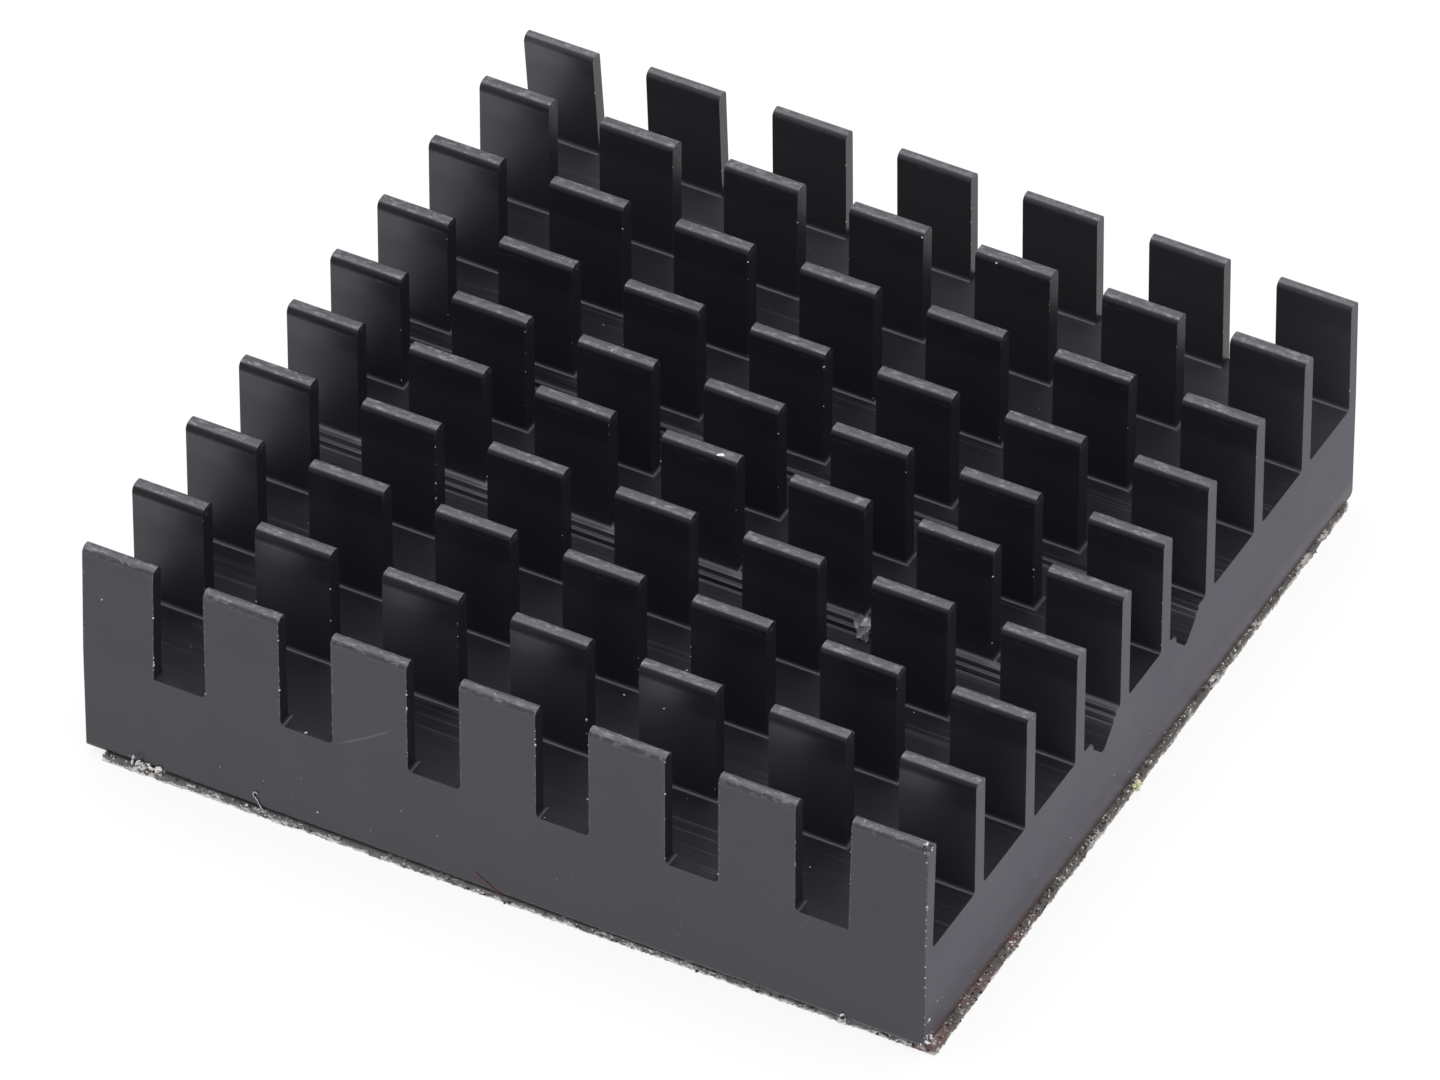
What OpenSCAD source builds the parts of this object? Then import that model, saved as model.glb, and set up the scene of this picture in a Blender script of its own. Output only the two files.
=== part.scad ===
// Pin fin heat sink.
// A black anodised aluminium extrusion is cross-cut into rows of flat pins.
// A sheet of thermal adhesive tape is stuck under its base.
// Sizes are in millimetres. +X runs along the extrusion and +Y across its fins.
// The origin is under the middle of the base, on the underside of the tape.

/* [Base] */

// Length along the extrusion
length = 40; // [30:1:60]
// Width across the fins
width = 40; // [38:0.5:46]
// Thickness of the base under the channel floors
base_thickness = 5.2; // [3:0.1:8]
// Radius along the two long lower edges
base_edge_radius = 0.3; // [0.1:0.05:0.6]

/* [Fins] */

// Height of the fins above the channel floors
fin_height = 6; // [4:0.25:20]
// Thickness of the inner fins
fin_thickness = 0.8; // [0.7:0.05:1.2]
// Thickness of the first and last fin
outer_fin_thickness = 0.65; // [0.65:0.05:1.2]
// How much lower the first and last fin stand than the others
outer_fin_drop = 0.15; // [0:0.05:0.5]
// Radius of the corners at the fin tips
tip_radius = 0.3; // [0.1:0.02:0.3]
// Radius where a fin meets the channel floor
foot_radius = 0.2; // [0.1:0.05:0.4]

/* [Channels] */

// Number of plain channels on each side of the grooved ones
side_channels = 3; // [1:1:4]
// Width of the channel in the middle
centre_channel = 3; // [2:0.1:4]
// Width of the two channels that hold a groove
grooved_channel = 3.35; // [3.2:0.05:4]

/* [Grooves] */

// Width of a groove at its mouth
groove_mouth = 2.3; // [2.2:0.05:2.5]
// Depth of a groove below the channel floor
groove_depth = 1.3; // [0.8:0.05:1.35]
// Height of each of the two steps at the top of a groove wall
groove_step_height = 0.25; // [0.1:0.05:0.3]
// Width of the ledge between the two steps
groove_step_width = 0.23; // [0.1:0.01:0.25]
// How far a groove sits off the middle of its channel, towards the centre
groove_offset = 0.12; // [0:0.01:0.15]

/* [Cross cuts] */

// Width of the slots cut across the fins
slot_width = 2.5; // [1.5:0.1:3.5]
// Distance from one slot to the next
slot_pitch = 6.1; // [5:0.1:9]
// How far the row of slots is off the middle of the length
slot_shift = -0.08; // [-0.5:0.02:0.5]
// Radius in the lower corners of a slot
slot_corner_radius = 0.25; // [0.1:0.05:0.4]
// Shortest pin that may be left at either end
min_end_pin = 2; // [1.5:0.1:3]

/* [Damage] */

// Lean of the corner pin on the last fin, in degrees
corner_pin_lean = 6; // [0.5:0.1:8]
// Lean of the pin beside it, in degrees
next_pin_lean = 3.4; // [0.5:0.1:8]
// Lean of the other pins on the last fin, in degrees
last_fin_lean = 1.2; // [0.5:0.1:4]
// Lean of the two end pins on the first fin, in degrees
first_fin_lean = 2; // [0.5:0.1:8]
// Height above the channel floor from which a pin leans
lean_start = 0.3; // [0.1:0.05:1]
// Radius of the knock in the corner of the first fin
knock_radius = 0.35; // [0.1:0.05:0.6]

/* [Tape] */

// Thickness of the tape
tape_thickness = 0.3; // [0.1:0.05:1]
// How much shorter the tape is than the base
tape_trim_x = 0.45; // [0:0.05:2]
// How much narrower the tape is than the base
tape_trim_y = 0.75; // [0:0.05:2]
// How far the tape is off the middle of the base along X
tape_shift_x = 0.46; // [-1:0.02:1]
// How far the tape is off the middle of the base along Y
tape_shift_y = -0.36; // [-1:0.02:1]
// Turn of the tape on the base, in degrees
tape_turn = 0.5; // [-2:0.1:2]

/* [Hidden] */

$fn = 16;

// Cutting pieces run past the solid by this much
margin = 1;
// Fillets reach into the fin and the floor by this much
overlap = 0.05;
// A leaning pin is rooted this deep in the base
pin_root = 0.5;

side_fins_width = (side_channels + 1) * fin_thickness + outer_fin_thickness;
side_channels_width = width / 2 - centre_channel / 2 - grooved_channel - side_fins_width;
side_channel = side_channels_width / side_channels;

first_fin_y = (centre_channel + fin_thickness) / 2;
second_fin_y = first_fin_y + fin_thickness + grooved_channel;
outer_fin_y = (width - outer_fin_thickness) / 2;
groove_y = (first_fin_y + second_fin_y) / 2 - groove_offset;

slot_room = length - slot_width - 2 * min_end_pin;
slot_count = floor(slot_room / slot_pitch) + 1;
first_slot_x = slot_shift - slot_pitch * (slot_count - 1) / 2;

floor_height = tape_thickness + base_thickness;
tip_height = floor_height + fin_height;

// The knock sits at the upper outer corner of the leaning end pin
outer_fin_height = fin_height - outer_fin_drop;
leaning_height = outer_fin_height - lean_start;
knock_y = sin(first_fin_lean) * leaning_height - width / 2;
knock_z = floor_height + lean_start + cos(first_fin_lean) * leaning_height;

// Where a pin starts and ends along X. The pins are counted from 0 to slot_count.
function pin_start(index) =
    index == 0 ? -length / 2 : first_slot_x + slot_width / 2 + (index - 1) * slot_pitch;
function pin_end(index) =
    index == slot_count ? length / 2 : first_slot_x - slot_width / 2 + index * slot_pitch;

// Lean of each pin on the last fin
function last_fin_pin_lean(index) =
    index == 0 ? corner_pin_lean : index == 1 ? next_pin_lean : last_fin_lean;

// Turns a profile so that it stands across Y and is drawn out along X.
module along_x() {
    rotate([90, 0, 90])
        children();
}

// Section of a fin that stands on y = 0.
module fin_profile(thickness, height) {
    flat = thickness - 2 * tip_radius;
    translate([-thickness / 2, 0])
        square([thickness, height - tip_radius]);
    translate([-flat / 2, 0])
        square([flat, height]);
    for (side = [-1, 1])
        translate([side * flat / 2, height - tip_radius])
            circle(r = tip_radius);
}

// Fillet between the floor and a fin to its left, with the corner at the origin.
module foot_profile() {
    difference() {
        translate([-overlap, -overlap])
            square(foot_radius + overlap);
        translate([foot_radius, foot_radius])
            circle(r = foot_radius);
    }
}

// Inner fin with a fillet on both sides.
module inner_fin_profile() {
    translate([0, -overlap])
        fin_profile(fin_thickness, fin_height + overlap);
    for (side = [0, 1])
        mirror([side, 0])
            translate([fin_thickness / 2, 0])
                foot_profile();
}

// Outer fin on the +y side, with a fillet on its inner side only.
module outer_fin_profile() {
    translate([0, -overlap])
        fin_profile(outer_fin_thickness, outer_fin_height + overlap);
    mirror([1, 0])
        translate([outer_fin_thickness / 2, 0])
            foot_profile();
}

// V groove with 45 degree walls and two small steps at the top of each wall.
module groove_profile() {
    mouth = groove_mouth / 2;
    step = mouth - groove_step_width;
    shoulder = 2 * groove_step_height;
    bottom = step - (groove_depth - shoulder);
    polygon([
        [-mouth, overlap],
        [-mouth, -groove_step_height],
        [-step, -groove_step_height],
        [-step, -shoulder],
        [-bottom, -groove_depth],
        [bottom, -groove_depth],
        [step, -shoulder],
        [step, -groove_step_height],
        [mouth, -groove_step_height],
        [mouth, overlap]
    ]);
}

// Solid base with rounded lower corners.
module base_profile() {
    translate([-width / 2, base_edge_radius])
        square([width, base_thickness - base_edge_radius]);
    translate([-width / 2 + base_edge_radius, 0])
        square([width - 2 * base_edge_radius, base_thickness]);
    for (side = [-1, 1])
        translate([side * (width / 2 - base_edge_radius), base_edge_radius])
            circle(r = base_edge_radius);
}

// Whole section of the extrusion, the same on both sides of the middle.
module extrusion_profile() {
    difference() {
        base_profile();
        for (side = [-1, 1])
            translate([side * groove_y, base_thickness])
                groove_profile();
    }
    for (side = [0, 1])
        mirror([side, 0])
            translate([0, base_thickness]) {
                translate([first_fin_y, 0])
                    inner_fin_profile();
                for (index = [0 : side_channels - 1])
                    translate([second_fin_y + index * (fin_thickness + side_channel), 0])
                        inner_fin_profile();
                translate([outer_fin_y, 0])
                    outer_fin_profile();
            }
}

// Section of a cross cut, from the channel floors to above the fin tips.
module slot_profile() {
    flat = slot_width - 2 * slot_corner_radius;
    translate([-slot_width / 2, slot_corner_radius])
        square([slot_width, fin_height + margin]);
    translate([-flat / 2, 0])
        square([flat, fin_height]);
    for (side = [-1, 1])
        translate([side * flat / 2, slot_corner_radius])
            circle(r = slot_corner_radius);
}

module cross_cuts() {
    for (index = [0 : slot_count - 1])
        translate([first_slot_x + index * slot_pitch, 0, floor_height])
            rotate([90, 0, 0])
                linear_extrude(width + 2 * margin, center = true)
                    slot_profile();
}

// Clears a length of the last fin down to the channel floor.
module last_fin_cut(start_x, end_x) {
    cut_width = outer_fin_thickness + foot_radius + margin;
    translate([start_x, width / 2 + margin - cut_width, floor_height])
        cube([end_x - start_x, cut_width, fin_height + margin]);
}

// Clears the whole last fin, and the end pins of the first fin.
module leaning_pins_cut() {
    last_fin_cut(-length / 2 - margin, length / 2 + margin);
    mirror([0, 1, 0]) {
        last_fin_cut(-length / 2 - margin, pin_end(0) + slot_width / 2);
        last_fin_cut(pin_start(slot_count) - slot_width / 2, length / 2 + margin);
    }
}

// Pin of the last fin that leans towards the middle of the fins from its outer face.
module leaning_pin(index, lean) {
    pin_length = pin_end(index) - pin_start(index);
    below = lean_start + pin_root;
    translate([pin_start(index), 0, 0]) {
        intersection() {
            translate([0, width / 2, floor_height + lean_start])
                rotate([lean, 0, 0])
                    translate([0, -outer_fin_thickness / 2, -below])
                        along_x()
                            linear_extrude(pin_length)
                                fin_profile(outer_fin_thickness, outer_fin_height + pin_root);
            cube([pin_length, width / 2, tip_height + margin]);
        }
        translate([0, width / 2 - outer_fin_thickness, floor_height])
            along_x()
                linear_extrude(pin_length)
                    mirror([1, 0])
                        foot_profile();
    }
}

module heat_sink() {
    color([0.05, 0.05, 0.055])
        difference() {
            union() {
                difference() {
                    translate([0, 0, tape_thickness])
                        along_x()
                            linear_extrude(length, center = true)
                                extrusion_profile();
                    cross_cuts();
                    leaning_pins_cut();
                }
                for (index = [0 : slot_count])
                    leaning_pin(index, last_fin_pin_lean(index));
                for (index = [0, slot_count])
                    mirror([0, 1, 0])
                        leaning_pin(index, first_fin_lean);
            }
            translate([length / 2, knock_y, knock_z])
                sphere(r = knock_radius);
        }
}

module thermal_tape() {
    color([0.42, 0.40, 0.40])
        translate([tape_shift_x, tape_shift_y, tape_thickness / 2])
            rotate([0, 0, tape_turn])
                cube([length - tape_trim_x, width - tape_trim_y, tape_thickness], center = true);
}

heat_sink();
thermal_tape();
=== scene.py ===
import math
import random

import bmesh
import bpy
from mathutils import Matrix, Vector, noise


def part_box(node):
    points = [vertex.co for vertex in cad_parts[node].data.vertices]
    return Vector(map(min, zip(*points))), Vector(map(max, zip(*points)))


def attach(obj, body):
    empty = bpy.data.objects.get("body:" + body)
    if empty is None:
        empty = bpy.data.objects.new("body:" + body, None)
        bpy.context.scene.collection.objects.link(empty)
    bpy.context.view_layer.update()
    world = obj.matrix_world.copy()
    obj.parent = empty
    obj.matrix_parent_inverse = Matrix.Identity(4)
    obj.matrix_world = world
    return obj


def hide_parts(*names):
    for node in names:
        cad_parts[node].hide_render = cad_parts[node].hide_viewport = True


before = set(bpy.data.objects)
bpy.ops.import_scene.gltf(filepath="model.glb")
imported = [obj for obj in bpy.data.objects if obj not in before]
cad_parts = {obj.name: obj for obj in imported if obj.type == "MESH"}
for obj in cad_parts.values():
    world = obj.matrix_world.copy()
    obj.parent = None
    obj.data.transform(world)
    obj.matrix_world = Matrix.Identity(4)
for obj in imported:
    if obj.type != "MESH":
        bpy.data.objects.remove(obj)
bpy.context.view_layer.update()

mm = 0.001
sinkLow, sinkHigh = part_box("heat_sink")
tapeLow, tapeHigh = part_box("thermal_tape")


# A number socket. The operators add Math nodes, so a pattern reads as a plain expression.
class Term:
    def __init__(self, graph, socket):
        self.graph = graph
        self.socket = socket

    def __add__(self, other):
        return self.graph.math("ADD", self, other)

    __radd__ = __add__

    def __sub__(self, other):
        return self.graph.math("SUBTRACT", self, other)

    def __rsub__(self, other):
        return self.graph.math("SUBTRACT", other, self)

    def __mul__(self, other):
        return self.graph.math("MULTIPLY", self, other)

    __rmul__ = __mul__

    def __pow__(self, other):
        return self.graph.math("POWER", self, other)


class Graph:
    def __init__(self, tree):
        self.tree = tree
        tree.nodes.clear()

    # settings come first, because some of them change which sockets there are
    def node(self, kind, settings=None, inputs=None, output=0):
        made = self.tree.nodes.new("ShaderNode" + kind)
        for name, value in (settings or {}).items():
            setattr(made, name, value)
        for name, value in (inputs or {}).items():
            if isinstance(value, Term):
                self.tree.links.new(value.socket, made.inputs[name])
            else:
                made.inputs[name].default_value = value
        return Term(self, made.outputs[output])

    def math(self, operation, first, second=0.0):
        return self.node("Math", {"operation": operation}, {0: first, 1: second})

    def absolute(self, value):
        return self.math("ABSOLUTE", value)

    def largest(self, first, *others):
        for other in others:
            first = self.math("MAXIMUM", first, other)
        return first

    def axes(self, vector):
        return [self.node("SeparateXYZ", None, {"Vector": vector}, axis) for axis in "XYZ"]

    # 0 below low, 1 above high, and smooth between them
    def step(self, value, low, high):
        return self.node("MapRange", {"interpolation_type": "SMOOTHSTEP"},
                         {"Value": value, "From Min": low, "From Max": high})

    # the same, with both ends in millimetres from a level
    def rise(self, value, level, ends):
        return self.step(value, level + ends[0] * mm, level + ends[1] * mm)

    def mix(self, factor, first, second):
        return self.node("Mix", {"data_type": "RGBA"}, {0: factor, 6: first, 7: second}, 2)

    # a scale of three numbers stretches the pattern
    def noise(self, vector, scale, detail=2.0, roughness=0.5):
        if isinstance(scale, tuple):
            vector = self.node("Mapping", None, {"Vector": vector, "Scale": scale})
            scale = 1.0
        return self.node("TexNoise", None, {"Vector": vector, "Scale": scale, "Detail": detail,
                                            "Roughness": roughness})

    def bump(self, height, strength, distance):
        return self.node("Bump", None, {"Strength": strength, "Distance": distance * mm, "Height": height})

    def blend(self, factor, first, second):
        return self.node("MixShader", None, {0: factor, 1: first, 2: second})

    def output(self, surface, kind="OutputMaterial"):
        made = self.tree.nodes.new("ShaderNode" + kind)
        self.tree.links.new(surface.socket, made.inputs["Surface"])


def newMaterial(name):
    material = bpy.data.materials.new(name)
    material.use_nodes = True
    return material, Graph(material.node_tree)


def darker(colour, share):
    return tuple(channel * share for channel in colour[:3]) + (1,)


# Angles in degrees, places in metres
cameraView = {"azimuth": 28.03, "elevation": 40.975, "roll": 0.088, "distance": 0.651, "lens": 383.47,
              "aim": (0.456 * mm, -1.362 * mm, 6.0 * mm), "clip": (0.01, 20)}


def makeCamera():
    azimuth, elevation = math.radians(cameraView["azimuth"]), math.radians(cameraView["elevation"])
    back = Vector((math.sin(azimuth) * math.cos(elevation), -math.cos(azimuth) * math.cos(elevation),
                   math.sin(elevation)))
    camera = bpy.data.objects.new("camera", bpy.data.cameras.new("camera"))
    camera.data.lens = cameraView["lens"]
    camera.data.clip_start, camera.data.clip_end = cameraView["clip"]
    place = Matrix.Translation(Vector(cameraView["aim"]) + back * cameraView["distance"])
    turn = (-back).to_track_quat("-Z", "Y").to_matrix().to_4x4()
    roll = Matrix.Rotation(math.radians(cameraView["roll"]), 4, "Z")
    camera.matrix_world = place @ turn @ roll
    bpy.context.collection.objects.link(camera)
    bpy.context.scene.camera = camera


# Sizes in metres. The lamp is a wide soft panel that hangs level over the part, a little to its back left.
studio = {"world": 0.6, "white": (1, 1, 1, 1), "lampPower": 0.9, "lampSize": (0.45, 0.34), "lampHeight": 0.22,
          "lampShift": 0.05, "lampTurn": 28, "floorSize": 3.0, "floorColour": (0.9, 0.9, 0.9, 1),
          "floorWhite": 0.85, "floorGap": 0.02 * mm, "clearReach": 0.1 * mm}


# 1 where the camera, a reflection or clear glass looks at the backdrop, and 0 where it only gives light
def backdropMask(graph):
    kinds = ("Camera", "Glossy", "Transmission")
    return graph.largest(*(graph.node("LightPath", output="Is " + kind + " Ray") for kind in kinds))


def makeWorld():
    world = bpy.data.worlds.new("studio")
    bpy.context.scene.world = world
    world.use_nodes = True
    graph = Graph(world.node_tree)
    lit = graph.node("Background", None, {"Color": studio["white"], "Strength": studio["world"]})
    white = graph.node("Background", None, {"Color": studio["white"], "Strength": 1.0})
    graph.output(graph.blend(backdropMask(graph), lit, white), "OutputWorld")


def makeLamp():
    lamp = bpy.data.lights.new("overheadLamp", "AREA")
    lamp.shape = "RECTANGLE"
    lamp.size, lamp.size_y = studio["lampSize"]
    lamp.energy = studio["lampPower"]
    light = bpy.data.objects.new("overheadLamp", lamp)
    turn = Matrix.Rotation(math.radians(studio["lampTurn"]), 4, "Z")
    light.matrix_world = turn @ Matrix.Translation((0, studio["lampShift"], studio["lampHeight"]))
    bpy.context.collection.objects.link(light)


# The floor lies just under the part. It is clear from below, and to light that starts right above it,
# so that the underside can be looked at.
def makeFloor():
    shape = bmesh.new()
    bmesh.ops.create_grid(shape, x_segments=1, y_segments=1, size=studio["floorSize"] / 2,
                          matrix=Matrix.Translation((0, 0, -studio["floorGap"])))
    mesh = bpy.data.meshes.new("floor")
    shape.to_mesh(mesh)
    shape.free()
    floor = bpy.data.objects.new("floor", mesh)
    bpy.context.collection.objects.link(floor)
    material, graph = newMaterial("paleFloor")
    paper = graph.node("BsdfDiffuse", None, {"Color": studio["floorColour"]})
    white = graph.node("Emission", None, {"Color": studio["white"], "Strength": 1.0})
    above = graph.blend(backdropMask(graph) * studio["floorWhite"], paper, white)
    touching = graph.math("LESS_THAN", graph.node("LightPath", output="Ray Length"), studio["clearReach"])
    below = graph.largest(graph.node("NewGeometry", output="Backfacing"), touching)
    graph.output(graph.blend(below, above, graph.node("BsdfTransparent")))
    floor.data.materials.append(material)


# The points of each separate piece of a bmesh
def findIslands(shape):
    islands, seen = [], set()
    for start in shape.verts:
        if start in seen:
            continue
        island, waiting = [], [start]
        seen.add(start)
        while waiting:
            vertex = waiting.pop()
            island.append(vertex.co.copy())
            for edge in vertex.link_edges:
                other = edge.other_vert(vertex)
                if other not in seen:
                    seen.add(other)
                    waiting.append(other)
        islands.append(island)
    return islands


# The level with the most area that faces up is the channel floor
def findFloorLevel(shape):
    areas = {}
    for face in shape.faces:
        if face.normal.z > 0.99:
            level = round(face.calc_center_median().z / mm, 2)
            areas[level] = areas.get(level, 0) + face.calc_area()
    return max(areas, key=areas.get) * mm


# A merged copy of the part is cut at half the height of its fins, so that each pin is left as an island.
# A pin's lean is how far the front of its tip stands behind the front of its foot.
def measurePins():
    mergeReach, footReach, tipReach = 0.001 * mm, 0.01 * mm, 0.4 * mm
    shape = bmesh.new()
    shape.from_mesh(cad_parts["heat_sink"].data)
    bmesh.ops.remove_doubles(shape, verts=shape.verts, dist=mergeReach)
    floorLevel = findFloorLevel(shape)
    cutLevel = (floorLevel + sinkHigh.z) / 2
    bmesh.ops.bisect_plane(shape, geom=shape.verts[:] + shape.edges[:] + shape.faces[:], dist=mergeReach / 10,
                           plane_co=(0, 0, cutLevel), plane_no=(0, 0, 1), clear_inner=True)
    pins = []
    for island in findIslands(shape):
        low = Vector([min(point[axis] for point in island) for axis in range(3)])
        high = Vector([max(point[axis] for point in island) for axis in range(3)])
        front = min(point.y for point in island if point.z < cutLevel + footReach)
        tipFront = min(point.y for point in island if point.z > high.z - tipReach)
        pins.append({"low": low, "high": high, "front": front, "lean": tipFront - front})
    shape.free()
    return floorLevel, pins


floorLevel, pins = measurePins()
pinEnds = sorted({round(pin[side].x / mm, 2) * mm for pin in pins for side in ("low", "high")})
print(len(pins), "pins measured,", len(pinEnds), "pin ends along X")


# A new object whose mesh comes from a bmesh. It rides on the part's only body.
def addPiece(name, shape, materials, smooth=False):
    mesh = bpy.data.meshes.new(name)
    shape.to_mesh(mesh)
    shape.free()
    for material in materials:
        mesh.materials.append(material)
    for polygon in mesh.polygons:
        polygon.use_smooth = smooth
    piece = bpy.data.objects.new(name, mesh)
    bpy.context.collection.objects.link(piece)
    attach(piece, "root")
    return piece


# Sizes in millimetres. A pair gives where something fades in: none at its first value, all at its second.
# A noise has its scale, its detail and its roughness.
anodising = {
    # kinds of face
    "endFacing": (0.6, 0.8), "floorFacing": (0.85, 0.98), "shaftTop": (-2, -1), "innerFrom": (1, 2),
    "frontBrow": (0.42, 0.66), "backBrow": (0.3, 0.6), "backBrowShare": 0.55, "tipBand": (-0.55, -0.30),
    "outerSkin": (-0.3, -0.1),
    # noises
    "streaks": ((110, 5200, 5200), 3.0, 0.6), "longStreaks": ((45, 9000, 9000), 2.0, 0.5),
    "clouds": (260, 4.0, 0.6), "grit": (9000, 2.0, 0.6), "patches": ((160, 420, 420), 2.0, 0.5),
    "ragged": ((1700, 4500, 4500), 3.0, 0.65), "fineRagged": ((4500, 9000, 9000), 2.0, 0.6),
    "edgeNoise": ((3000, 3000, 1500), 2.0, 0.6),
    # colours
    "colour": (0.0150, 0.0142, 0.0180, 1), "cloudy": (0.35, 0.7), "cloudShade": 0.8,
    "backColour": (0.030, 0.029, 0.033, 1), "backFrom": (12, 19), "endColour": (0.026, 0.0235, 0.038, 1),
    # The foot colour of the +X end is painted light: a painted reflection of the bright floor on its lowest
    # part.
    "paintedFootLightColour": (0.082, 0.074, 0.084, 1), "footHeight": (0.25, 1.3), "footFrom": (0, 1),
    # The reddish tint at the foot of the +X end is lighter than the anodising: partly painted light.
    "tintAndLightColour": (0.105, 0.070, 0.070, 1), "tintHeight": 0.85, "tintWander": 1.2,
    "tintFade": (-0.5, 0.15), "tintAcross": (-12, 0), "tintShare": 0.8, "tintLoss": 0.5,
    # finishes
    "drawn": {"roughness": 0.31, "ior": 1.62, "tint": (0.92, 0.90, 1.0, 1)},
    "sawn": {"roughness": 0.40, "ior": 1.42, "tint": (0.85, 0.815, 1.0, 1)},
    "dull": {"roughness": 0.36, "ior": 1.25, "tint": (0.97, 0.95, 1.0, 1)},
    # this finish also paints the highlights on the grooves' steps and ledge
    "wearAndPaintedHighlight": {"roughness": 0.42, "ior": 1.8, "tint": (0.92, 0.90, 1.0, 1)},
    "wearAndHighlightColour": (0.16, 0.158, 0.17, 1), "innerRoughness": 0.15, "drawnClouds": 0.14, "drawnStreaks": 0.10,
    "sawnClouds": 0.12, "wallDullness": 0.6,
    # relief: the strength and the distance, then the share of each noise
    "grainBump": (0.16, 0.02), "streakGrain": 0.7, "gritGrain": 0.5,
    "tipBump": (0.5, 0.04), "tipRelief": 0.8, "drawnRelief": 0.25,
    # wear of the tips and of the pins' upright edges
    "raggedShare": 0.6, "tipRagged": (0.49, 0.66), "tipWear": 0.62,
    "edgeReach": 0.10, "edgeBand": (-0.01, 0.03), "edgeFoot": (0.1, 0.3), "edgeGrit": (0.50, 0.62),
    "edgeWear": 0.5, "innerEdgeLoss": 0.88,
    # die lines: there are two grooves across the fins, and a bright ledge behind the front one.
    # The ledge and the steps in the grooves carry a painted highlight under their die lines.
    "patchy": (0.46, 0.62), "floorLines": (0.55, 0.68), "floorShare": 0.14,
    "grooves": (-3.86, 3.86), "grooveHalf": (1.16, 1.20), "grooveTop": (-0.03, 0),
    "wallLines": (0.46, 0.62), "wallShare": 0.07,
    "stepBottom": (-0.62, -0.5), "stepLines": (0.36, 0.58), "stepPaintedHighlight": 0.10, "stepShare": 0.36,
    "ledge": (-2.72, -2.28), "ledgeFade": (0, 0.05), "ledgeLines": (0.35, 0.65), "ledgePaintedHighlight": 0.35,
    "ledgeShare": 0.35,
    # the scratch is part of a circle on the front
    "scratchCentre": (-18.9, 24.6), "scratchRadius": 22.0, "scratchEnds": (-8.0, -4.9), "scratchWander": 0.06,
    "scratchHalf": (0.02, 0.07), "scratchDepth": (0.3, 0.4), "scratchStart": (0, 1), "scratchStop": (-0.8, 0),
    "scratchShare": 0.26}


# What the finish is mixed from: the place, the kind of face and noise
class Skin:
    def __init__(self, graph):
        self.graph = graph
        place = graph.node("TexCoord", output="Object")
        self.along, self.across, self.height = graph.axes(place)
        facing, self.sideways, upward = graph.axes(graph.node("NewGeometry", output="Normal"))
        self.ends = graph.step(graph.absolute(facing), *anodising["endFacing"])
        self.shafts = 1 - graph.rise(self.height, sinkHigh.z, anodising["shaftTop"])
        self.floors = graph.step(upward, *anodising["floorFacing"]) * self.shafts
        self.inner = graph.rise(self.across, sinkLow.y, anodising["innerFrom"])
        self.tips = graph.rise(self.height, sinkHigh.z, anodising["tipBand"])
        self.streaks = graph.noise(place, *anodising["streaks"])
        self.longStreaks = graph.noise(place, *anodising["longStreaks"])
        self.clouds = graph.noise(place, *anodising["clouds"])
        self.grit = graph.noise(place, *anodising["grit"])
        self.patches = graph.noise(place, *anodising["patches"])
        self.ragged = graph.noise(place, *anodising["ragged"])
        self.fineRagged = graph.noise(place, *anodising["fineRagged"])
        self.edgeNoise = graph.noise(place, *anodising["edgeNoise"])


# The rounded long edges of the tips, which stay dull
def tipBrows(skin):
    graph = skin.graph
    front = graph.step(0 - skin.sideways, *anodising["frontBrow"])
    back = graph.step(skin.sideways, *anodising["backBrow"]) * anodising["backBrowShare"]
    return skin.tips * skin.inner * graph.largest(front, back)


def tipWear(skin, brows):
    share = anodising["raggedShare"]
    marks = skin.graph.step(skin.ragged * share + skin.fineRagged * (1 - share), *anodising["tipRagged"])
    return skin.tips * marks * anodising["tipWear"] * (1 - brows)


def edgeWear(skin):
    graph = skin.graph
    nearest = None
    for end in pinEnds:
        distance = graph.absolute(skin.along - end)
        nearest = graph.math("MINIMUM", nearest, distance) if nearest else distance
    band = 1 - graph.rise(nearest - skin.edgeNoise * (anodising["edgeReach"] * mm), 0, anodising["edgeBand"])
    upright = graph.rise(skin.height, floorLevel, anodising["edgeFoot"])
    marks = band * upright * graph.step(skin.grit, *anodising["edgeGrit"]) * anodising["edgeWear"]
    return marks * (1 - skin.ends) * (1 - skin.inner * anodising["innerEdgeLoss"])


# The walls of the V grooves
def grooveWalls(skin):
    graph = skin.graph
    near = [1 - graph.rise(graph.absolute(skin.across - middle * mm), 0, anodising["grooveHalf"])
            for middle in anodising["grooves"]]
    under = 1 - graph.rise(skin.height, floorLevel, anodising["grooveTop"])
    return graph.largest(*near) * under * (1 - skin.ends)


# Lines that the die drew, faint on the channel floors and strong on the steps in the grooves. The steps
# and the ledge behind the front groove are also lighter all over: a painted highlight on their edges.
def dieLinesAndPaintedHighlights(skin, walls):
    graph, streaks = skin.graph, skin.longStreaks
    onFloors = skin.floors * graph.step(skin.patches, *anodising["patchy"])
    onFloors = onFloors * graph.step(streaks, *anodising["floorLines"]) * anodising["floorShare"]
    onWalls = walls * graph.step(streaks, *anodising["wallLines"]) * anodising["wallShare"]
    # The steps and the ledge get a painted highlight under their die lines.
    steps = walls * graph.rise(skin.height, floorLevel, anodising["stepBottom"])
    onSteps = graph.step(streaks, *anodising["stepLines"]) * anodising["stepShare"] + anodising["stepPaintedHighlight"]
    start, stop = (graph.rise(skin.across, edge * mm, anodising["ledgeFade"]) for edge in anodising["ledge"])
    ledge = start * (1 - stop) * skin.floors
    onLedge = graph.step(streaks, *anodising["ledgeLines"]) * anodising["ledgeShare"]
    onLedge = ledge * (onLedge + anodising["ledgePaintedHighlight"])
    return graph.largest(onFloors, onWalls + steps * onSteps, onLedge)


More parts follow.
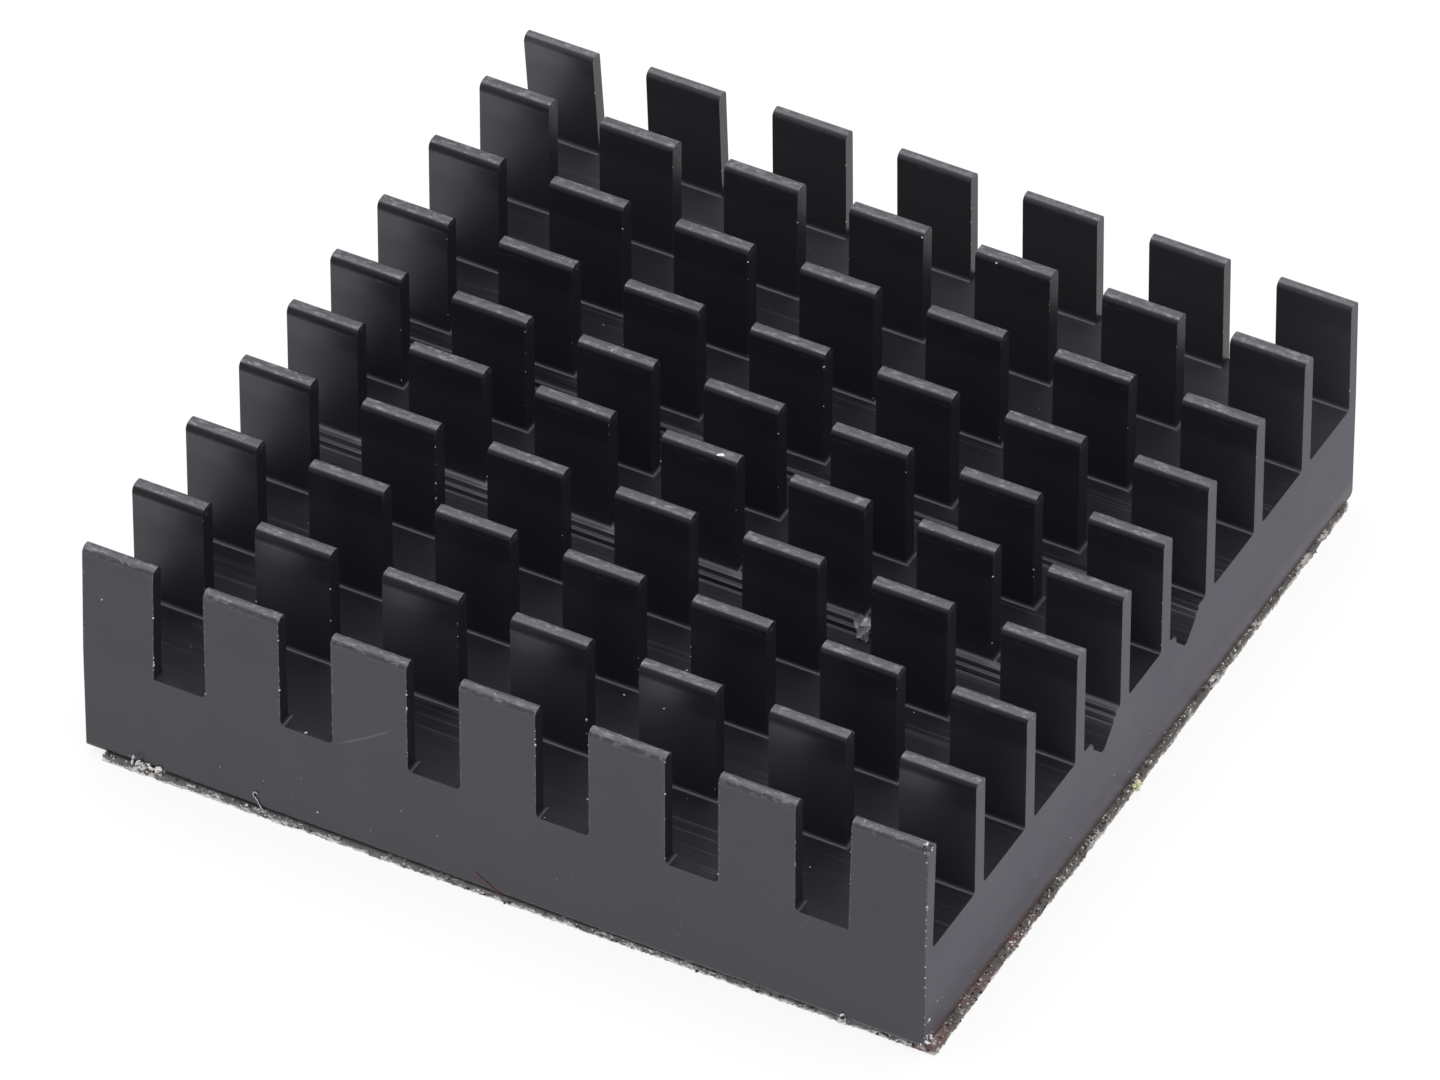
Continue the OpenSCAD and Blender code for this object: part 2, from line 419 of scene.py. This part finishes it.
def scratch(skin):
    graph = skin.graph
    centreX, centreZ = (value * mm for value in anodising["scratchCentre"])
    firstX, lastX = (value * mm for value in anodising["scratchEnds"])
    ring = ((skin.along - centreX) ** 2 + (skin.height - centreZ) ** 2) ** 0.5
    wander = (skin.edgeNoise - 0.5) * (anodising["scratchWander"] * mm)
    offLine = graph.absolute(ring - anodising["scratchRadius"] * mm + wander)
    line = 1 - graph.rise(offLine, 0, anodising["scratchHalf"])
    onFront = 1 - graph.rise(skin.across, sinkLow.y, anodising["scratchDepth"])
    start = graph.rise(skin.along, firstX, anodising["scratchStart"])
    stop = 1 - graph.rise(skin.along, lastX, anodising["scratchStop"])
    return line * onFront * start * stop * anodising["scratchShare"]


# A reddish-brown tint creeps up the +X end from the tape, most of it near the front. Its colour is lighter
# than the anodising: partly painted light on the shaded foot of the end.
def reddishTintAndPaintedLight(skin):
    graph = skin.graph
    creep = (skin.clouds - 0.5) * (anodising["tintWander"] * mm) + anodising["tintHeight"] * mm
    marks = 1 - graph.rise(skin.height - creep, 0, anodising["tintFade"])
    marks = marks * graph.rise(skin.along, sinkHigh.x, anodising["outerSkin"])
    fade = graph.rise(skin.across, 0, anodising["tintAcross"])
    return marks * (anodising["tintShare"] - fade * anodising["tintLoss"])


def anodisingColour(skin):
    graph = skin.graph
    shaded = darker(anodising["colour"], anodising["cloudShade"])
    colour = graph.mix(graph.step(skin.clouds, *anodising["cloudy"]), anodising["colour"], shaded)
    back = graph.rise(skin.across, 0, anodising["backFrom"]) * (1 - skin.ends)
    colour = graph.mix(back, colour, anodising["backColour"])
    outerEnds = skin.ends * graph.rise(graph.absolute(skin.along), sinkHigh.x, anodising["outerSkin"])
    colour = graph.mix(outerEnds, colour, anodising["endColour"])
    # The foot of the +X end is painted lighter: painted light standing in for the floor's reflection.
    foot = 1 - graph.rise(skin.height, sinkLow.z, anodising["footHeight"])
    foot = outerEnds * graph.rise(skin.along, 0, anodising["footFrom"]) * foot
    colour = graph.mix(foot, colour, anodising["paintedFootLightColour"])
    return graph.mix(reddishTintAndPaintedLight(skin), colour, anodising["tintAndLightColour"])


def finish(graph, name, colour, roughness, bump=None):
    inputs = {"Base Color": colour, "Roughness": roughness, "IOR": anodising[name]["ior"],
              "Specular Tint": anodising[name]["tint"]}
    if bump:
        inputs["Normal"] = bump
    return graph.node("BsdfPrincipled", None, inputs)


# Drawn faces shine more than the faces that the saw left and the floors between the fins.
# Bare metal glints through in streaks along the tips, in flecks on the pins' edges and in the scratch.
# The same light finish is a painted highlight on the steps in the grooves and on the ledge behind the front
# one.
def makeAnodising():
    material, graph = newMaterial("blackAnodising")
    skin = Skin(graph)
    brows, walls = tipBrows(skin), grooveWalls(skin)
    # Wear, and the painted highlights of the grooves' steps and ledge
    wearAndPaintedHighlight = graph.largest(tipWear(skin, brows), edgeWear(skin), dieLinesAndPaintedHighlights(skin, walls), scratch(skin))

    clouds, streaks = skin.clouds - 0.5, skin.streaks - 0.5
    drawnRoughness = skin.inner * skin.shafts * anodising["innerRoughness"] + anodising["drawn"]["roughness"]
    drawnRoughness = drawnRoughness + clouds * anodising["drawnClouds"] + streaks * anodising["drawnStreaks"]
    sawnRoughness = clouds * anodising["sawnClouds"] + anodising["sawn"]["roughness"]

    grain = skin.streaks * anodising["streakGrain"] + skin.grit * anodising["gritGrain"]
    grainBump = graph.bump(grain, *anodising["grainBump"])
    relief = skin.tips * (skin.ragged + skin.fineRagged) * anodising["tipRelief"]
    tipBump = graph.bump(relief + skin.streaks * anodising["drawnRelief"], *anodising["tipBump"])

    colour = anodisingColour(skin)
    drawn = finish(graph, "drawn", colour, drawnRoughness, tipBump)
    dull = finish(graph, "dull", colour, anodising["dull"]["roughness"], grainBump)
    sawn = finish(graph, "sawn", colour, sawnRoughness, grainBump)
    bareAndHighlight = finish(graph, "wearAndPaintedHighlight", anodising["wearAndHighlightColour"], anodising["wearAndPaintedHighlight"]["roughness"])
    surface = graph.blend(graph.largest(skin.floors, brows, walls * anodising["wallDullness"]), drawn, dull)
    graph.output(graph.blend(wearAndPaintedHighlight, graph.blend(skin.ends, surface, sawn), bareAndHighlight))
    return material


def finishHeatSink():
    material = makeAnodising()
    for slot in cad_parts["heat_sink"].material_slots:
        slot.material = material


# Sizes in millimetres. The two noises of the torn edge have their scale, shift and share.
adhesive = {
    # colours
    "pale": (0.74, 0.72, 0.70, 1), "dark": (0.15, 0.143, 0.143, 1), "under": (0.34, 0.335, 0.33, 1),
    "brown": (0.120, 0.108, 0.098, 1), "paleBrown": (0.46, 0.43, 0.40, 1), "red": (0.175, 0.095, 0.09, 1),
    "brownFrom": (18.5, 19.8), "brownShare": 0.85, "paleBrownShare": 0.7,
    "redTo": (-13, -8), "redPatches": (0.4, 0.6),
    # where the pale filler shows, and the plain underside
    "torn": ((1700, 1700, 5200), 4.0, 0.75), "patches": (700, 3.0, 0.6), "patchShare": 0.3, "lowerShare": 0.16,
    "paleFrom": 0.54, "paleTo": 0.60, "paleWidening": 0.12, "downFacing": (0.8, 0.95), "underShare": 0.85,
    "roughness": 0.65, "patchRoughness": 0.3, "bump": (0.6, 0.05),
    # the torn edge
    "step": 0.12, "levels": (0.0, 0.3, 0.62, 1.0), "tear": 0.11,
    "coarse": ((1.1, 1.1, 3), (0, 0, 0), 0.5), "fine": ((5.5, 5.5, 9), (7, 3, 1), 0.8),
    "belly": 0.02, "bellyLevels": (0.2, 0.8), "bulge": 0.06, "bulgeFrom": (-8, 0)}


# Torn grey adhesive, browner along the +X end and reddish by the front corner there. Its underside is plain.
def makeAdhesive(name, paleShare):
    material, graph = newMaterial(name)
    place = graph.node("TexCoord", output="Object")
    along, across, height = graph.axes(place)
    downward = graph.axes(graph.node("NewGeometry", output="Normal"))[2] * -1
    torn = graph.noise(place, *adhesive["torn"])
    patches = graph.noise(place, *adhesive["patches"])

    right = graph.rise(along, 0, adhesive["brownFrom"])
    corner = right * (1 - graph.rise(across, 0, adhesive["redTo"]))
    reddish = corner * graph.step(patches, *adhesive["redPatches"])
    earthy = graph.mix(reddish, adhesive["brown"], adhesive["red"])
    ground = graph.mix(right * adhesive["brownShare"], adhesive["dark"], earthy)
    chalky = graph.mix(right * adhesive["paleBrownShare"], adhesive["pale"], adhesive["paleBrown"])

    lower = 0.5 - graph.step(height, 0, tapeHigh.z)
    level = torn + (patches - 0.5) * adhesive["patchShare"] + lower * adhesive["lowerShare"]
    paleFrom = adhesive["paleFrom"] - paleShare * adhesive["paleWidening"]
    colour = graph.mix(graph.step(level, paleFrom, adhesive["paleTo"]), ground, chalky)
    plain = adhesive["underShare"] + patches * (1 - adhesive["underShare"])
    colour = graph.mix(graph.step(downward, *adhesive["downFacing"]) * plain, colour, adhesive["under"])
    roughness = (patches - 0.5) * adhesive["patchRoughness"] + adhesive["roughness"]
    bump = graph.bump(torn, *adhesive["bump"])
    graph.output(graph.node("BsdfPrincipled", None, {"Base Color": colour, "Roughness": roughness,
                                                     "IOR": 1.45, "Normal": bump}))
    return material


# The tape's corners on the floor, taken from its solid: the outermost points in the four directions
def tapeCorners():
    points = [vertex.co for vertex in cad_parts["thermal_tape"].data.vertices]
    return [Vector(max(points, key=lambda point: point.x * sideX + point.y * sideY).xy.to_3d())
            for sideX, sideY in ((-1, -1), (1, -1), (1, 1), (-1, 1))]


# How far the torn edge stands out at a point, in millimetres
def tearAt(point, atEnd):
    tear = 0
    for scale, shift, share in (adhesive["coarse"], adhesive["fine"]):
        tear += noise.noise(point / mm * Vector(scale) + Vector(shift)) * share
    firstLevel, lastLevel = adhesive["bellyLevels"]
    if firstLevel < point.z / (tapeHigh.z - tapeLow.z) < lastLevel:
        tear += adhesive["belly"]
    bulge = 0
    if atEnd:
        first, last = adhesive["bulgeFrom"]
        bulge = adhesive["bulge"] * min(1, max(0, (point.y / mm - first) / (last - first)))
    return tear * adhesive["tear"] + bulge


def makeTape(material):
    shape = bmesh.new()
    corners = [shape.verts.new(corner) for corner in tapeCorners()]
    for first, second in zip(corners, corners[1:] + corners[:1]):
        shape.edges.new((first, second))
    cuts = int((tapeHigh.x - tapeLow.x) / (adhesive["step"] * mm))
    bmesh.ops.subdivide_edges(shape, edges=shape.edges[:], cuts=cuts)
    sheet = bmesh.ops.edgeloop_fill(shape, edges=shape.edges[:])["faces"][0]
    for lower, upper in zip(adhesive["levels"], adhesive["levels"][1:]):
        made = bmesh.ops.extrude_face_region(shape, geom=[sheet, *sheet.edges, *sheet.verts])
        sheet = [item for item in made["geom"] if isinstance(item, bmesh.types.BMFace)][0]
        lift = (upper - lower) * (tapeHigh.z - tapeLow.z)
        bmesh.ops.translate(shape, verts=list(sheet.verts), vec=(0, 0, lift))
    middle = (tapeLow + tapeHigh) / 2
    for vertex in shape.verts:
        out = vertex.co - middle
        if abs(out.x) > abs(out.y):
            side = Vector((math.copysign(1, out.x), 0, 0))
        else:
            side = Vector((0, math.copysign(1, out.y), 0))
        vertex.co += side * tearAt(vertex.co, side.x > 0) * mm
    bmesh.ops.recalc_face_normals(shape, faces=shape.faces[:])
    piece = addPiece("thermalTape", shape, [material])
    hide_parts("thermal_tape")


# Loose bits are copies of a few lumps. A lump is turned any way round and tilted up to this much, in radians.
lump = {"kinds": 5, "seedStep": 3.7, "roughness": 0.55, "scale": 1.3, "turn": 6.28, "tilt": 0.6}


def lumpMesh(name, seed):
    shape = bmesh.new()
    bmesh.ops.create_icosphere(shape, subdivisions=1, radius=1)
    for vertex in shape.verts:
        spot = vertex.co * lump["scale"] + Vector((seed, seed * 2, 0))
        vertex.co *= 1 + lump["roughness"] * noise.noise(spot)
    mesh = bpy.data.meshes.new(name)
    shape.to_mesh(mesh)
    shape.free()
    return mesh


lumps = [lumpMesh("lump" + str(kind), kind * lump["seedStep"]) for kind in range(lump["kinds"])]


# size is the bit's three half sizes in millimetres
def addLump(shape, place, size, dice, materialIndex=0):
    vertexCount, faceCount = len(shape.verts), len(shape.faces)
    shape.from_mesh(dice.choice(lumps))
    shape.verts.ensure_lookup_table()
    shape.faces.ensure_lookup_table()
    turn = Matrix.Rotation(dice.uniform(0, lump["turn"]), 4, "Z")
    tilt = Matrix.Rotation(dice.uniform(-lump["tilt"], lump["tilt"]), 4, "X")
    stretch = Matrix.Diagonal((*(value * mm for value in size), 1))
    bmesh.ops.transform(shape, matrix=Matrix.Translation(place) @ turn @ tilt @ stretch,
                        verts=shape.verts[vertexCount:])
    for face in shape.faces[faceCount:]:
        face.material_index = materialIndex


# The loose bits' finishes: colour and roughness
looseFinishes = {"whiteLiner": ((0.88, 0.87, 0.85, 1), 0.6), "darkGrit": ((0.045, 0.04, 0.038, 1), 0.6),
                 "paleDust": ((0.55, 0.55, 0.56, 1), 0.6), "swarfAndPaintedGlint": ((0.78, 0.78, 0.80, 1), 0.35),
                 "whiteFlakeFinish": ((0.9, 0.9, 0.9, 1), 0.4), "yellowResin": ((0.80, 0.78, 0.52, 1), 0.35),
                 "redThread": ((0.20, 0.055, 0.05, 1), 0.6)}
speckle = {"noise": (5000, 2.0, 0.5), "fade": (0.3, 0.7), "shade": 0.72}


def looseMaterial(name):
    colour, roughness = looseFinishes[name]
    material, graph = newMaterial(name)
    spots = graph.noise(graph.node("TexCoord", output="Object"), *speckle["noise"])
    shade = graph.mix(graph.step(spots, *speckle["fade"]), darker(colour, speckle["shade"]), colour)
    graph.output(graph.node("BsdfPrincipled", None, {"Base Color": shade, "Roughness": roughness,
                                                     "IOR": 1.45}))
    return material


# Bits of adhesive along the front and the +X end of the tape. Where the tape shows past the base as a ledge,
# some lie on it. Sizes in millimetres.
crumbs = {"seed": 11, "frontCount": 420, "endCount": 900, "size": (0.03, 0.10), "whiteShare": 0.24,
          "darkShare": 0.22, "whiteSize": 0.7, "outward": 0.05, "inward": 0.02, "leastLedge": 0.05,
          "levels": (0.15, 0.95), "lift": 0.2, "width": (0.5, 1), "height": (0.4, 0.8)}


def makeCrumbs(material, whiteMaterial, darkMaterial):
    dice = random.Random(crumbs["seed"])
    shape = bmesh.new()
    corners = tapeCorners()
    for count, first, last, inward in ((crumbs["frontCount"], corners[0], corners[1], Vector((0, 1, 0))),
                                       (crumbs["endCount"], corners[1], corners[2], Vector((-1, 0, 0)))):
        for index in range(count):
            place = first.lerp(last, dice.random())
            size = dice.uniform(*crumbs["size"])
            ledge = (sinkLow.y - place.y if inward.y else place.x - sinkHigh.x) / mm
            depth = dice.uniform(-crumbs["outward"], max(ledge, crumbs["inward"]))
            place = place + inward * depth * mm
            if depth > crumbs["inward"] and ledge > crumbs["leastLedge"]:
                place.z = tapeHigh.z + crumbs["lift"] * size * mm
            else:
                place.z = dice.uniform(*crumbs["levels"]) * tapeHigh.z
            draw = dice.random()
            materialIndex = 0
            if draw < crumbs["whiteShare"]:
                materialIndex = 1
                size = size * crumbs["whiteSize"]
            elif draw < crumbs["whiteShare"] + crumbs["darkShare"]:
                materialIndex = 2
            sizes = (size, size * dice.uniform(*crumbs["width"]), size * dice.uniform(*crumbs["height"]))
            addLump(shape, place, sizes, dice, materialIndex)
    addPiece("tapeCrumbs", shape, [material, whiteMaterial, darkMaterial])


# Loose white flakes of the torn liner, in millimetres. A heap has its middle, its spread and its count.
linerCrumbs = {"seed": 5, "size": 0.14, "smallest": 0.25, "spread": (0.5, 0.15, 0.4), "length": (0.9, 1.5),
               "width": (0.3, 0.8), "height": (0.3, 0.9),
               "heaps": (((-17.3, -20.1, 0.45), 0.55, 26), ((-16.4, -20.05, 0.50), 0.22, 8),
                         ((16.1, -20.02, 0.38), 0.30, 12), ((19.95, -19.9, 0.75), 0.30, 12),
                         ((20.05, -19.5, 0.60), 0.35, 12), ((20.02, -19.7, 1.7), 0.22, 5))}


def makeLinerCrumbs(material):
    dice = random.Random(linerCrumbs["seed"])
    shape = bmesh.new()
    for centre, spread, count in linerCrumbs["heaps"]:
        for index in range(count):
            size = dice.uniform(linerCrumbs["smallest"], 1.0) ** 1.5 * linerCrumbs["size"]
            shift = Vector([dice.gauss(0, reach) for reach in linerCrumbs["spread"]]) * spread
            sizes = [size * dice.uniform(*linerCrumbs[side]) for side in ("length", "width", "height")]
            addLump(shape, (Vector(centre) + shift) * mm, sizes, dice)
    addPiece("linerCrumbs", shape, [material])


# Dust and burrs: how many there are in each place, their sizes and the single ones, in millimetres.
# An edge speck lies on the right edge of its pin or, less often, on the left one.
specks = {"seed": 23, "edge": 210, "tip": 260, "floors": 60, "front": 26, "corner": 11, "end": 46,
          "size": (0.012, 0.045), "frontPinShare": 0.25, "rightShare": 0.85, "edgeRoom": 0.2,
          "tipRoom": (0.2, 0.25), "tipSink": 0.02, "frontFrom": 0.8,
          "cornerTop": 0.5, "cornerSize": (0.5, 1.1), "endFrom": 0.1, "endRise": 2.2, "endSize": (0.35, 1.0),
          "singleSize": (0.9, 1.6),
          "single": ((-18.4, -19.8, 10.25), (-19.05, -19.9, 8.9), (1.3, -11.5, 5.5), (5.4, -15.6, 9.65),
                     (3.1, -18.0, 5.5), (2.9, -8.9, 5.5), (-9.3, -19.9, 5.5), (-8.75, -20.0, 1.35),
                     (1.65, 14.8, 11.3), (5.25, 14.8, 11.3))}


# A higher power makes large specks rarer
def speckSize(dice, power):
    small, large = specks["size"]
    return small + (large - small) * dice.random() ** power


def addEdgeSpecks(shape, dice):
    room = specks["edgeRoom"] * mm
    for index in range(specks["edge"]):
        pin = dice.choice(pins)
        if dice.random() < specks["frontPinShare"]:
            pin = min(pins, key=lambda one: abs(one["low"].y - sinkLow.y) + abs(one["low"].x - pin["low"].x))
        side = pin["high"] if dice.random() < specks["rightShare"] else pin["low"]
        level = dice.uniform(floorLevel + room, pin["high"].z - room)
        rise = (level - floorLevel) / (pin["high"].z - floorLevel)
        place = Vector((side.x, pin["front"] + pin["lean"] * (2 * rise - 1), level))
        size = speckSize(dice, 4)
        addLump(shape, place, (size, size, size * dice.uniform(1, 2)), dice)


def addTipSpecks(shape, dice):
    frontRoom, backRoom = (room * mm for room in specks["tipRoom"])
    for index in range(specks["tip"]):
        pin = dice.choice(pins)
        place = Vector((dice.uniform(pin["low"].x, pin["high"].x), 0, pin["high"].z - specks["tipSink"] * mm))
        place.y = dice.uniform(pin["front"] + pin["lean"] + frontRoom, pin["high"].y - backRoom)
        size = speckSize(dice, 4)
        addLump(shape, place, (size, size, size * 0.6), dice)


def addFloorSpecks(shape, dice):
    for index in range(specks["floors"]):
        place = Vector((dice.uniform(sinkLow.x, sinkHigh.x), dice.uniform(sinkLow.y, sinkHigh.y), floorLevel))
        size = speckSize(dice, 3)
        addLump(shape, place, (size, size, size * 0.6), dice)


def addFrontSpecks(shape, dice):
    for index in range(specks["front"]):
        place = Vector((dice.uniform(sinkLow.x, sinkHigh.x), sinkLow.y,
                        dice.uniform(specks["frontFrom"] * mm, floorLevel)))
        size = speckSize(dice, 3)
        addLump(shape, place, (size, size * 0.4, size), dice)


# along the upright edge between the front and the +X end
def addCornerSpecks(shape, dice):
    for index in range(specks["corner"]):
        level = dice.uniform(sinkLow.z, sinkHigh.z - specks["cornerTop"] * mm)
        size = specks["size"][1] * dice.uniform(*specks["cornerSize"])
        addLump(shape, Vector((sinkHigh.x, sinkLow.y, level)), (size * 0.8, size * 0.8, size), dice)


# on the +X end, most of them low and near the front
def addEndSpecks(shape, dice):
    for index in range(specks["end"]):
        rise = dice.random() ** 2.2
        depth = (sinkHigh.y - sinkLow.y) * dice.random() ** 1.8
        level = sinkLow.z + (specks["endFrom"] + rise * specks["endRise"]) * mm
        size = specks["size"][1] * dice.uniform(*specks["endSize"])
        addLump(shape, Vector((sinkHigh.x, sinkLow.y + depth, level)), (size * 0.4, size, size), dice)


def makeSpecks(material):
    dice = random.Random(specks["seed"])
    shape = bmesh.new()
    addEdgeSpecks(shape, dice)
    addTipSpecks(shape, dice)
    addFloorSpecks(shape, dice)
    addFrontSpecks(shape, dice)
    addCornerSpecks(shape, dice)
    addEndSpecks(shape, dice)
    for spot in specks["single"]:
        size = specks["size"][1] * dice.uniform(*specks["singleSize"])
        addLump(shape, Vector(spot) * mm, (size * 1.3, size * 0.7, size * 0.8), dice)
    addPiece("specks", shape, [material])


# Bits on the dent in the upper corner of the first fin, coloured bright white as painted glints. Sizes in
# millimetres.
knock = {"seed": 4, "count": 5, "reach": (0.4, 0.6, 0.55), "size": (0.03, 0.11)}


def makeKnockBits(material):
    dice = random.Random(knock["seed"])
    shape = bmesh.new()
    reach = Vector(knock["reach"]) * mm
    dent = sorted(tuple(vertex.co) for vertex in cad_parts["heat_sink"].data.vertices
                  if vertex.co.x > sinkHigh.x - reach.x and vertex.co.y < sinkLow.y + reach.y
                  and vertex.co.z > sinkHigh.z - reach.z)
    for index in range(knock["count"]):
        size = dice.uniform(*knock["size"])
        addLump(shape, dice.choice(dent), (size, size * 0.6, size), dice)
    addPiece("knockBits", shape, [material])


# A crumpled sliver of metal that the saw left in a groove. Sizes in millimetres.
sliver = {"centre": (8.02, -2.85, 5.36), "size": (0.80, 0.95), "tilt": 48, "thickness": 0.05, "crumple": 0.18,
          "creases": 3.0, "creaseShifts": ((3, 1, 5), (7, 4, 2), (1, 8, 6)), "narrowing": 0.55,
          "dark": (0.20, 0.20, 0.21, 1), "light": (0.30, 0.30, 0.31, 1), "metallic": 0.7,
          "roughness": 0.4, "grain": (6000, 2.0, 0.5), "grainRoughness": 0.2}


def makeBareMetal():
    material, graph = newMaterial("rawAluminium")
    grain = graph.noise(graph.node("TexCoord", output="Object"), *sliver["grain"])
    graph.output(graph.node("BsdfPrincipled", None, {
        "Base Color": graph.mix(grain, sliver["dark"], sliver["light"]), "Metallic": sliver["metallic"],
        "Roughness": grain * sliver["grainRoughness"] + sliver["roughness"]}))
    return material


def makeSliver(material):
    shape = bmesh.new()
    bmesh.ops.create_grid(shape, x_segments=4, y_segments=5, size=0.5)
    length, width = sliver["size"]
    for vertex in shape.verts:
        spot = vertex.co * sliver["creases"]
        crease = Vector([noise.noise(spot + Vector(shift)) for shift in sliver["creaseShifts"]])
        narrowing = 1 - sliver["narrowing"] * max(0, -vertex.co.y * 2)
        vertex.co.x = 0.5 - (0.5 - vertex.co.x) * narrowing
        vertex.co = Vector((vertex.co.x * length, vertex.co.y * width, 0))
        vertex.co += crease * sliver["crumple"]
        vertex.co *= mm
    shape.normal_update()
    bmesh.ops.solidify(shape, geom=shape.faces[:], thickness=sliver["thickness"] * mm)
    place = Matrix.Translation(Vector(sliver["centre"]) * mm)
    tilt = Matrix.Rotation(math.radians(sliver["tilt"]), 4, "X")
    bmesh.ops.transform(shape, matrix=place @ tilt, verts=shape.verts)
    bmesh.ops.recalc_face_normals(shape, faces=shape.faces[:])
    addPiece("sliver", shape, [material])


# A white flake on a fin tip, in millimetres
flake = {"seed": 2, "centre": (0.9, -2.1, 11.49), "size": (0.2, 0.1, 0.05)}


def makeFlake(material):
    shape = bmesh.new()
    addLump(shape, Vector(flake["centre"]) * mm, flake["size"], random.Random(flake["seed"]))
    addPiece("whiteFlake", shape, [material])


# A few yellowish crumbs under the middle of the +X end, in millimetres
yellowCrumbs = {"seed": 8, "count": 9, "centre": (20.38, -1.15, 0.28), "spread": (0.12, 0.28, 0.14),
                "size": (0.05, 0.17)}


def makeYellowCrumbs(material):
    dice = random.Random(yellowCrumbs["seed"])
    shape = bmesh.new()
    for index in range(yellowCrumbs["count"]):
        shift = Vector([dice.uniform(-reach, reach) for reach in yellowCrumbs["spread"]])
        size = dice.uniform(*yellowCrumbs["size"])
        addLump(shape, (Vector(yellowCrumbs["centre"]) + shift) * mm, (size, size, size * 0.8), dice)
    addPiece("yellowCrumbs", shape, [material])


# Two fibres that cling to the front, in millimetres
fibres = {"paleFibre": {"radius": 0.028,
                        "points": ((-11.3, -20.06, 0.25), (-11.55, -20.04, 0.55), (-11.70, -20.04, 0.85),
                                   (-11.86, -20.04, 1.05), (-11.78, -20.04, 1.22), (-11.64, -20.04, 1.18))},
          "redFibre": {"radius": 0.018,
                       "points": ((-1.2, -20.02, 1.15), (-0.8, -20.02, 0.92), (-0.5, -20.02, 0.72),
                                  (0.1, -20.0, 0.35))}}


def makeFibre(name, material):
    fibre = fibres[name]
    curve = bpy.data.curves.new(name, "CURVE")
    curve.dimensions = "3D"
    curve.bevel_depth = fibre["radius"] * mm
    curve.bevel_resolution = 1
    curve.resolution_u = 6
    curve.use_fill_caps = True
    spline = curve.splines.new("BEZIER")
    spline.bezier_points.add(len(fibre["points"]) - 1)
    for knot, point in zip(spline.bezier_points, fibre["points"]):
        knot.co = Vector(point) * mm
        knot.handle_left_type = knot.handle_right_type = "AUTO"
    drawn = bpy.data.objects.new(name, curve)
    bpy.context.collection.objects.link(drawn)
    mesh = bpy.data.meshes.new_from_object(drawn.evaluated_get(bpy.context.evaluated_depsgraph_get()))
    bpy.data.objects.remove(drawn)
    shape = bmesh.new()
    shape.from_mesh(mesh)
    bpy.data.meshes.remove(mesh)
    bmesh.ops.remove_doubles(shape, verts=shape.verts[:], dist=0.0001 * mm)  # welds the end caps
    bmesh.ops.recalc_face_normals(shape, faces=shape.faces[:])
    addPiece(name, shape, [material], smooth=True)


bpy.context.scene.view_settings.view_transform = "Standard"
makeCamera()
makeWorld()
makeLamp()
makeFloor()
print("camera, lights and floor made")

finishHeatSink()
print("heat sink finished")

whiteLiner = looseMaterial("whiteLiner")
paleDust = looseMaterial("paleDust")
makeTape(makeAdhesive("tornAdhesive", 0.5))
makeCrumbs(makeAdhesive("adhesiveCrumbs", 0.9), whiteLiner, looseMaterial("darkGrit"))
makeLinerCrumbs(whiteLiner)
print("tape and crumbs made")

makeSpecks(paleDust)
# the dent's bits are white as painted glints
makeKnockBits(looseMaterial("swarfAndPaintedGlint"))
makeSliver(makeBareMetal())
makeFlake(looseMaterial("whiteFlakeFinish"))
makeYellowCrumbs(looseMaterial("yellowResin"))
makeFibre("paleFibre", paleDust)
makeFibre("redFibre", looseMaterial("redThread"))
print("dust, knock and fibres made")
